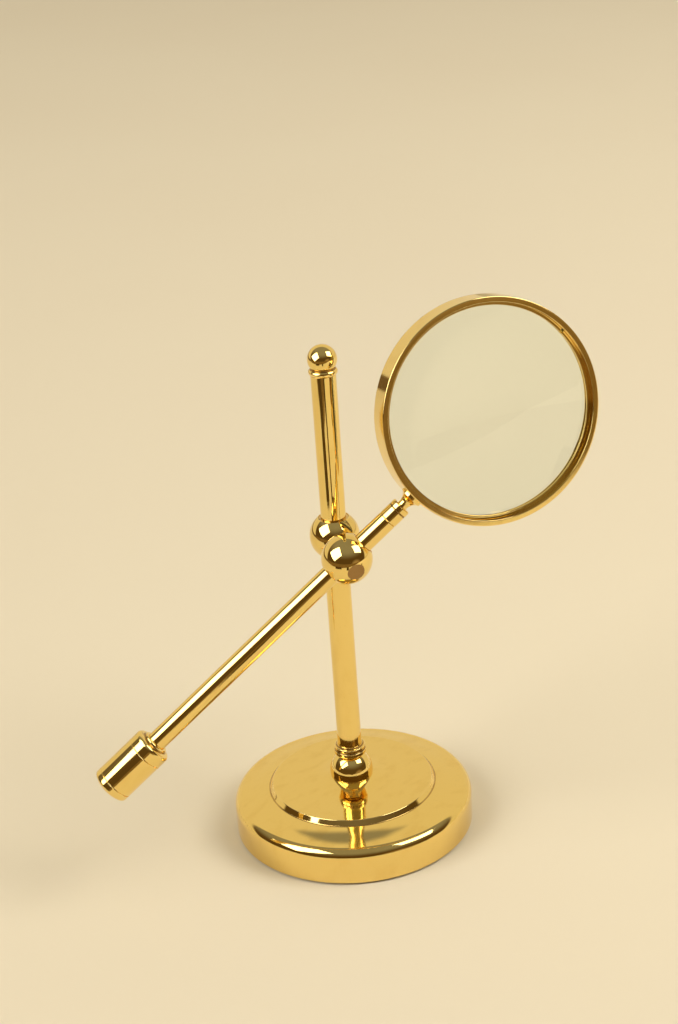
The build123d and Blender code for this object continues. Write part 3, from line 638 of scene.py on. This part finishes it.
# ---- Collar ----
# Turned ring with two beads and a fine groove between them. The post stands in its socket, and it spreads
# the pull of the tie rod over the neck of the foot ball.
collar_foot, collar_height, bead_radius, socket_radius = 51.2, 7.2, 10.45, 7.9575
collar = spun("post_collar_ring", rounded([
    (rod_hole, collar_foot), (bead_radius, collar_foot, 0.9), (bead_radius, collar_foot + 3.0, 0.9),
    (bead_radius - 0.9, collar_foot + 3.2, 0.15), (bead_radius - 0.9, collar_foot + 3.7, 0.15),
    (bead_radius - 0.4, collar_foot + 3.9, 0.7), (bead_radius - 0.4, collar_foot + 5.9, 0.7),
    (socket_radius + 0.55, collar_foot + 6.3, 0.15),
    (socket_radius + 0.55, collar_foot + collar_height, 0.25),
    (socket_radius, collar_foot + collar_height, 0.1), (socket_radius, collar_foot + 2.5),
    (rod_hole, collar_foot + 2.5),
]), seat(Vector(), upright), closed=True)
put(collar, "stand", "polished_brass", turned_brass, "post_collar")

# ---- Post ----
# Hard drawn brass tube, buffed along its length, with a tapped brass plug soldered in each end.
drawn_brass = brass("drawn_brass", polished, 0.05, (0, 2600, 25), wander=0.35)
plain_brass = brass(
    "plain_brass", (0.74, 0.52, 0.20), 0.24, (4200, 0, 4200), wander=0.6, tarnish=1.0, depth=2.5, turned=False
)
post_low, post_high = (corner.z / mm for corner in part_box("post_tube"))
post_radius, post_wall = 7.9375, 1.2
post = spun("post_pipe", rounded([
    (post_radius - post_wall, post_low), (post_radius, post_low, 0.1), (post_radius, post_high, 0.12),
    (post_radius - post_wall, post_high, 0.1),
]), seat(Vector(), upright), closed=True)
put(post, "stand", "polished_brass", drawn_brass, "post_tube")
dress(plain_brass, "post_lower_plug", "post_upper_plug", "post_shoe", "arm_shoe", "arm_lower_plug")

# ---- Finial ----
# Turned in one piece: a threaded spigot in the post, a half-round bead, a fine neck and a ball on top.
finial_bead, finial_bead_height, finial_neck, finial_ball, finial_spigot = 9.1, 3.9, 7.55, 9.2, 14.0
bead_top = post_high + finial_bead_height
ball_rise = math.sqrt(finial_ball ** 2 - finial_neck ** 2)
finial_centre = bead_top + ball_rise + 0.5
bead_half = finial_bead_height / 2
finial_outline = [(0, post_high - finial_spigot), (3.0, post_high - finial_spigot, 0.4), (3.0, post_high)]
finial_outline += arc((finial_bead - bead_half, post_high + bead_half), bead_half, -90, 76, 20)
finial_outline += [(finial_neck, bead_top, 0.1), (finial_neck, bead_top + 0.5, 0.1)]
finial_outline += arc(
    (0, finial_centre), finial_ball, -math.degrees(math.asin(ball_rise / finial_ball)) + 1.5, 90, 40
)
finial = spun("post_knob", rounded(finial_outline), seat(Vector(), upright))
put(finial, "stand", "polished_brass", turned_brass, "post_finial")

# ---- Sleeve on the post ----
# Thin split brass sleeve that grips the post by friction. The ball turns round it, and only its ends show.
ball_radius, sleeve_setback, sleeve_slit = 15.875, 0.3, 1.2
post_sleeve_inner, post_sleeve_outer, post_flat = 7.9875, 9.4875, 12.46
post_sleeve_half = post_flat - sleeve_setback
post_sleeve = spun("post_grip_sleeve", rounded([
    (post_sleeve_inner, -post_sleeve_half, 0.1), (post_sleeve_outer, -post_sleeve_half, 0.2),
    (post_sleeve_outer, post_sleeve_half, 0.2), (post_sleeve_inner, post_sleeve_half, 0.1),
    (post_sleeve_inner, 0),
]), seat(post_ball_centre, upright, upright.cross(-joint_direction)), closed=True,
    gap=math.degrees(sleeve_slit / post_sleeve_outer))
put(post_sleeve, "post_sleeve", "plain_brass", plain_brass, "post_sleeve")


# ---- The two clamp balls ----
# Solid brass balls, turned and then buffed on a mop. Each is bored for its sleeve, faced flat at the mouths
# of the bore and where it bears on the stack between the balls, and drilled for the spring and its disc.
def cut(piece, place, *cutters):
    """Cuts turned pieces out of another, and sets its smooth and sharp edges afresh."""
    for cutter in cutters:
        modifier = piece.modifiers.new("cut", "BOOLEAN")
        modifier.operation, modifier.solver, modifier.object = "DIFFERENCE", "EXACT", cutter
    bpy.context.view_layer.update()
    whole = piece.evaluated_get(bpy.context.evaluated_depsgraph_get())
    mesh = bpy.data.meshes.new_from_object(whole)
    piece.modifiers.clear()
    piece.data = mesh
    for cutter in cutters:
        bpy.data.objects.remove(cutter)
    mesh.polygons.foreach_set("use_smooth", [True] * len(mesh.polygons))
    mesh.set_sharp_from_angle(angle=math.radians(24))
    own_places(mesh, place)
    return mesh


def clamp_ball(name, centre, bore_axis, bore, flat, hole, cap_side, stack_side):
    """Ball with its bore along one axis, a disc's recess on one side and a flat on the other."""
    mouth = bore + 0.3
    reach = math.degrees(math.asin(flat / ball_radius))
    outline = [(bore, -flat, 0.12)]
    outline += [(mouth, -flat, 0.15)] + arc((0, 0), ball_radius, -reach, reach, 90)[1:-1]
    outline += [(mouth, flat, 0.15), (bore, flat, 0.12), (bore, 0)]
    ball = spun(name, rounded(outline, 3), seat(centre, bore_axis), closed=True, spokes=240)
    far = ball_radius * 1.2
    recess = spun("recess", [
        (0, 3.0), (4.3, 3.0), (4.3, cap_floor), (cap_radius, cap_floor), (cap_radius, ball_flat - 0.16),
        (cap_radius + 0.24, ball_flat + 0.08), (cap_radius + 0.3, far), (0, far),
    ], seat(centre, cap_side), spokes=96)
    bearing = spun("bearing", [
        (0, 3.0), (hole, 3.0), (hole, ball_flat), (far, ball_flat), (far, far), (0, far),
    ], seat(centre, stack_side), spokes=96)
    mesh = cut(ball, seat(centre, bore_axis), recess, bearing)
    smooth = [Vector(corner.vector) for corner in mesh.corner_normals]
    for polygon in mesh.polygons:
        points = [mesh.vertices[v].co - centre for v in polygon.vertices]
        if all(abs(point.length - ball_radius * mm) < 2e-6 for point in points):
            for corner, point in zip(polygon.loop_indices, points):
                smooth[corner] = point.normalized()
    mesh.normals_split_custom_set(smooth)
    return ball


cap_radius, ball_flat, cap_floor = 5.5, 14.89, 12.75
ball_brass = brass("ball_brass", polished, 0.045, (0, 900, 900), wander=0.25, depth=0.5)
post_bore, post_mouth, arm_bore, arm_mouth, screw_hole = 9.5375, 12.46, 7.65, 13.74, 3.05
post_ball = clamp_ball(
    "post_clamp_ball", post_ball_centre, upright, post_bore, post_mouth, screw_hole,
    -joint_direction, joint_direction,
)
arm_ball = clamp_ball(
    "arm_clamp_ball", arm_ball_centre, arm_direction, arm_bore, arm_mouth, screw_hole,
    front_direction, -joint_direction,
)
put(post_ball, "post_ball", "polished_brass", ball_brass, "post_ball")
put(arm_ball, "arm_ball", "polished_brass", ball_brass, "arm_ball")

# ---- Discs ----
# Plain brass discs pressed in over the springs. They are not buffed with the balls, so they have gone brown.
brown_brass = brass(
    "brown_brass", (0.36, 0.21, 0.075), 0.34, (3800, 0, 0), wander=0.3, tarnish=1.0, depth=2.5
)
for name, node, body, centre, direction in (
    ("post_ball_disc", "post_ball_cap", "post_ball", post_ball_centre, -joint_direction),
    ("arm_ball_disc", "arm_ball_cap", "arm_ball", arm_ball_centre, front_direction),
):
    disc = spun(name, rounded([
        (0, cap_floor), (cap_radius - 0.02, cap_floor, 0.1), (cap_radius - 0.02, ball_flat - 0.14, 0.2),
        (0, ball_flat - 0.14),
    ]), seat(centre, direction), spokes=96)
    put(disc, body, "polished_brass", brown_brass, node)

# ---- Stack between the balls ----
# On the pivot screw: a brass washer, a brown fibre disc, a brass spacer and a dished steel spring washer.
fibre = Finish(bpy.data.materials.new("brown_fibre"))
fibre_grain = fibre.noise(fibre.spot((900, 900, 3500)), 1.0, 4.0)
fibre.node("ShaderNodeOutputMaterial", None, {
    "Surface": fibre.node("ShaderNodeBsdfPrincipled", None, {
        "Base Color": fibre.blend(
            fibre.between(fibre_grain, 0.3, 0.7), paint((0.10, 0.030, 0.014)), paint((0.19, 0.065, 0.03))
        ),
        "Roughness": fibre.between(fibre_grain, 0.3, 0.7, 0.5, 0.7),
        "Normal": fibre.node("ShaderNodeBump", None, {
            "Height": fibre_grain, "Strength": 0.3, "Distance": 0.00005,
        }),
    }),
})
stack_bore, gap_end = 3.05, 36.95 - 14.89
for name, node, body, slot, finish, outer, low, high, edge in (
    ("brass_washer", "thrust_washer", "post_ball", "plain_brass", plain_brass, 5.4, 14.89, 16.49, 0.25),
    ("fibre_washer", "friction_disc", "post_ball", "fibre", fibre.holder, 5.2, 16.49, 17.69, 0.1),
    ("brass_spacer", "joint_spacer", "arm_ball", "plain_brass", plain_brass, 5.4, 17.71, gap_end - 1.1, 0.25),
):
    washer = spun(name, rounded([
        (stack_bore, low), (outer, low, edge), (outer, high, edge), (stack_bore, high),
        (stack_bore, low + 0.5),
    ]), seat(post_ball_centre, joint_direction), closed=True, spokes=96)
    put(washer, body, slot, finish, node)
spring_washer = spun("spring_washer", rounded([
    (stack_bore, gap_end - 0.5), (5.1, gap_end - 1.1, 0.1), (5.1, gap_end - 0.6, 0.1), (stack_bore, gap_end),
    (stack_bore, gap_end - 0.2),
]), seat(post_ball_centre, joint_direction), closed=True, spokes=96)
put(spring_washer, "arm_ball", "steel", steel.holder, "joint_spring")

# ---- Sleeve on the arm ----
# The same kind of split sleeve, for the thinner tube. It turns in the ball, and the arm slides through it.
arm_sleeve_inner, arm_sleeve_outer, arm_sleeve_half = 6.4, 7.6, 13.74 - sleeve_setback
arm_sleeve = spun("arm_grip_sleeve", rounded([
    (arm_sleeve_inner, -arm_sleeve_half, 0.1), (arm_sleeve_outer, -arm_sleeve_half, 0.2),
    (arm_sleeve_outer, arm_sleeve_half, 0.2), (arm_sleeve_inner, arm_sleeve_half, 0.1), (arm_sleeve_inner, 0),
]), seat(arm_ball_centre, arm_direction, -joint_direction), closed=True,
    gap=math.degrees(sleeve_slit / arm_sleeve_outer))
put(arm_sleeve, "arm_sleeve", "plain_brass", plain_brass, "arm_sleeve")

# ---- Arm ----
# Drawn brass tube, thinner than the post, buffed along its length. It runs down into the counterweight.
arm_place = seat(arm_ball_centre, arm_direction, joint_direction)
arm_radius, arm_wall, arm_foot, arm_reach = 6.35, 1.0, -176.0, 34.5
arm = spun("arm_pipe", rounded([
    (arm_radius - arm_wall, arm_foot), (arm_radius, arm_foot, 0.1), (arm_radius, arm_reach, 0.12),
    (arm_radius - arm_wall, arm_reach, 0.1),
]), arm_place, closed=True)
put(arm, "arm", "polished_brass", drawn_brass, "arm_tube")

# ---- Ferrule ----
# Turned end piece soldered in the tube, as thick as the tube, with a fine groove at its foot and another
# near its end. The stem of the lens screws into it.
groove, groove_deep, ferrule_end, groove_place, spigot_radius = 0.35, 0.4, 47.0, 43.0, 5.33
ferrule = spun("arm_ferrule_piece", rounded([
    (0, arm_reach - 10), (spigot_radius, arm_reach - 10, 0.2), (spigot_radius, arm_reach),
    (arm_radius - groove_deep, arm_reach, 0.06), (arm_radius, arm_reach + 2 * groove, 0.15),
    (arm_radius, groove_place - groove, 0.1), (arm_radius - groove_deep, groove_place, 0.06),
    (arm_radius, groove_place + groove, 0.1), (arm_radius, ferrule_end - 2 * groove, 0.2),
    (arm_radius - 2 * groove, ferrule_end, 0.2), (2.55, ferrule_end), (2.55, arm_reach + 0.5),
    (0, arm_reach + 0.5),
]), arm_place)
put(ferrule, "arm", "polished_brass", turned_brass, "arm_ferrule")


# ---- Stem ----
# Threaded stem that necks down above the ferrule and flares into a small saddle. The saddle is cut to the
# round of the band and soldered on it.
def through(start, middle, end, steps=14):
    """Arc in an outline through three points."""
    (ax, ay), (bx, by), (cx, cy) = start, middle, end
    d = 2 * (ax * (by - cy) + bx * (cy - ay) + cx * (ay - by))
    ux = ((ax**2 + ay**2) * (by - cy) + (bx**2 + by**2) * (cy - ay) + (cx**2 + cy**2) * (ay - by)) / d
    uy = ((ax**2 + ay**2) * (cx - bx) + (bx**2 + by**2) * (ax - cx) + (cx**2 + cy**2) * (bx - ax)) / d
    first = math.degrees(math.atan2(ay - uy, ax - ux))
    last = math.degrees(math.atan2(cy - uy, cx - ux))
    if abs(last - first) > 180:
        last += 360 if last < first else -360
    return arc((ux, uy), math.dist((ux, uy), start), first, last, steps)


arm_turn, lens_lean, band_distance, band_radius = 2.5, 11.4, 54.7, 70.65
arm_face = Matrix.Rotation(math.radians(-arm_turn), 3, arm_direction) @ joint_direction
lean = Matrix.Rotation(math.radians(lens_lean), 3, arm_face.cross(arm_direction))
lens_outward, lens_normal = lean @ arm_direction, lean @ arm_face
lens_middle = arm_ball_centre + arm_direction * band_distance * mm + lens_outward * band_radius * mm
lens_place = seat(lens_middle, lens_normal, lens_outward)
stem_neck, flare_radius, flare_rim, thread_radius = 3.3, 7.3, 0.6, 2.5
stem_outline = [
    (0, ferrule_end - 11), (thread_radius, ferrule_end - 11, 0.4), (thread_radius, ferrule_end),
    (stem_neck, ferrule_end), (stem_neck, ferrule_end + 1.2),
]
stem_outline += through(
    (stem_neck, ferrule_end + 1.2), (stem_neck + (flare_radius - stem_neck) * 0.32, 51.85),
    (flare_radius, band_distance - flare_rim), 24,
)[1:-1]
stem_outline += [(flare_radius, band_distance - flare_rim, 0.2), (flare_radius, band_distance + 3)]
stem_outline += [(0, band_distance + 3)]
stem = spun("lens_stem_piece", rounded(stem_outline), arm_place)
cut(stem, arm_place, spun("round_of_band", [
    (0, -20), (band_radius, -20), (band_radius, 20), (0, 20),
], lens_place, spokes=720))
put(stem, "arm", "polished_brass", turned_brass, "lens_stem")

# ---- Band ----
# Deep brass ring, turned inside and out, with an inside rib that the lens seats on. Its outer edges are
# just broken.
band_brass = brass("band_brass", polished, 0.06, (4200, 0, 4200), wander=0.3, depth=1.3)
band_half, band_wall, rib_height, rib_width, rib_face = 7.9375, 3.5, 2.3, 1.8, -2.007
band_bore = band_radius - band_wall
band = spun("lens_ring", rounded([
    (band_radius, -band_half, 0.6), (band_radius, band_half, 0.6), (band_bore, band_half, 0.3),
    (band_bore, rib_face, 0.08), (band_bore - rib_height, rib_face, 0.15),
    (band_bore - rib_height, rib_face - rib_width, 0.15), (band_bore, rib_face - rib_width, 0.08),
    (band_bore, -band_half, 0.3), (band_bore + 1, -band_half),
]), lens_place, closed=True, spokes=320)
put(band, "arm", "polished_brass", band_brass, "lens_band")

# ---- Lens ----
# Biconvex glass, ground and polished, with a faint green tint and a narrow bevel. It carries a little dust
# and a few smears near the edge.
glass = Finish(bpy.data.materials.new("lens_glass"))
glass_smear = glass.between(glass.noise(glass.spot((1, 2.5, 1)), 34, 4.0), 0.55, 0.8)
glass_dust = glass.node("ShaderNodeTexVoronoi", None, {"Vector": glass.spot(), "Scale": 420.0})
glass_speck = glass.between(glass_dust, 0.03, 0.07, 1.0, 0.0)
glass_body = glass.node("ShaderNodeBsdfPrincipled", None, {
    "Base Color": glass.blend(glass_smear, paint((0.945, 0.992, 0.955)), paint((0.935, 0.980, 0.945))),
    "Roughness": glass_smear * 0.012,
    "Transmission Weight": 1.0,
    "IOR": 1.52,
    "Normal": glass.node("ShaderNodeBump", None, {
        "Height": glass.noise(glass.spot(), 45, 1.0), "Strength": 0.02, "Distance": 0.0001,
    }),
})
glass_dusty = glass.node("ShaderNodeBsdfPrincipled", None, {
    "Base Color": paint((0.7, 0.68, 0.6)), "Roughness": 0.9,
})
clear = glass.node("ShaderNodeBsdfTransparent", None, {"Color": paint((0.93, 0.96, 0.91))})
glass_look = glass.node("ShaderNodeMixShader", None, {0: glass_speck * 0.10, 1: glass_body, 2: glass_dusty})
glass_shade = glass.node("ShaderNodeMixShader", None, {
    0: glass.node("ShaderNodeLightPath", out=1), 1: glass_look, 2: clear,
})
glass.node("ShaderNodeOutputMaterial", None, {"Surface": glass_shade})
lens_radius, lens_edge, lens_curve = 66.85, 3.2, 330.0
rim_angle = math.degrees(math.asin((lens_radius - 0.4) / lens_curve))
face_centre = math.sqrt(lens_curve ** 2 - (lens_radius - 0.4) ** 2) - lens_edge / 2
lens_outline = arc((0, face_centre), lens_curve, -90, -90 + rim_angle, 40)
lens_outline += [(lens_radius, -lens_edge / 2 + 0.4), (lens_radius, lens_edge / 2 - 0.4)]
lens_outline += arc((0, -face_centre), lens_curve, 90 - rim_angle, 90, 40)
lens = spun("lens_disc", [(max(r, 0.0), h) for r, h in lens_outline], lens_place, spokes=256)
put(lens, "arm", "lens_glass", glass.holder, "lens")

# ---- Retainer ----
# Split ring of square brass wire, sprung into the band against the front of the lens.
retainer = spun("lens_wire_ring", rounded([
    (band_bore - rib_height, -rib_face, 0.3), (band_bore - 0.02, -rib_face, 0.1),
    (band_bore - 0.02, -rib_face + 1.6, 0.1), (band_bore - rib_height, -rib_face + 1.6, 0.3),
    (band_bore - rib_height, -rib_face + 0.8),
]), lens_place, closed=True, spokes=256, gap=math.degrees(2.0 / (band_bore - 1)))
put(retainer, "arm", "polished_brass", band_brass, "lens_retainer")

# ---- Counterweight ----
# Iron slug in a brass sleeve between two turned caps, drawn together by a stud from the end of the arm.
# The upper cap has a bead round the arm and a rounded shoulder, the lower one a low dome.
weight_top, weight_end, weight_radius, liner = -166.0, -211.0, 12.7, 11.5
top_joint, end_joint, top_bead, shoulder, joint_cut = -176.5, -203.0, 8.4, 3.2, 0.4
shoulder_place = weight_top - 2.4
top_cap = spun("weight_top_cap", rounded([
    (arm_radius + 0.02, weight_top, 0.05), (top_bead, weight_top, 0.9), (top_bead, shoulder_place + 0.6, 1.0),
    (weight_radius, shoulder_place, shoulder), (weight_radius, top_joint + 0.35, 0.12),
    (weight_radius - joint_cut, top_joint, 0.05), (liner - 0.02, top_joint), (liner - 0.02, top_joint - 3),
    (arm_radius + 0.02, top_joint - 3),
], 10), arm_place, closed=True, spokes=192)
put(top_cap, "arm", "polished_brass", turned_brass, "counter_top_cap")
weight_sleeve = spun("weight_sleeve", rounded([
    (liner, end_joint), (weight_radius - joint_cut, end_joint, 0.05), (weight_radius, end_joint + 0.35, 0.12),
    (weight_radius, top_joint - 0.35, 0.12), (weight_radius - joint_cut, top_joint, 0.05), (liner, top_joint),
]), arm_place, closed=True, spokes=192)
put(weight_sleeve, "arm", "polished_brass", turned_brass, "counter_sleeve")
dome_rise, dome_round = 3.6, 2.0
dome_radius = (weight_radius ** 2 + dome_rise ** 2) / (2 * dome_rise)
dome_reach = math.degrees(math.asin(weight_radius / dome_radius))
end_outline = arc((0, weight_end + dome_radius), dome_radius, -90, -90 + dome_reach * 0.82, 24)
end_outline += [(weight_radius, weight_end + dome_rise, dome_round), (weight_radius, end_joint - 0.35, 0.12)]
end_outline += [
    (weight_radius - joint_cut, end_joint, 0.05), (liner - 0.02, end_joint), (liner - 0.02, end_joint + 3),
    (3.05, end_joint + 3), (3.05, weight_end + 4), (0, weight_end + 4),
]
end_outline = [(max(r[0], 0.0), *r[1:]) for r in end_outline]
end_cap = spun("weight_end_cap", rounded(end_outline, 8), arm_place, spokes=192)
put(end_cap, "arm", "polished_brass", turned_brass, "counter_end_cap")
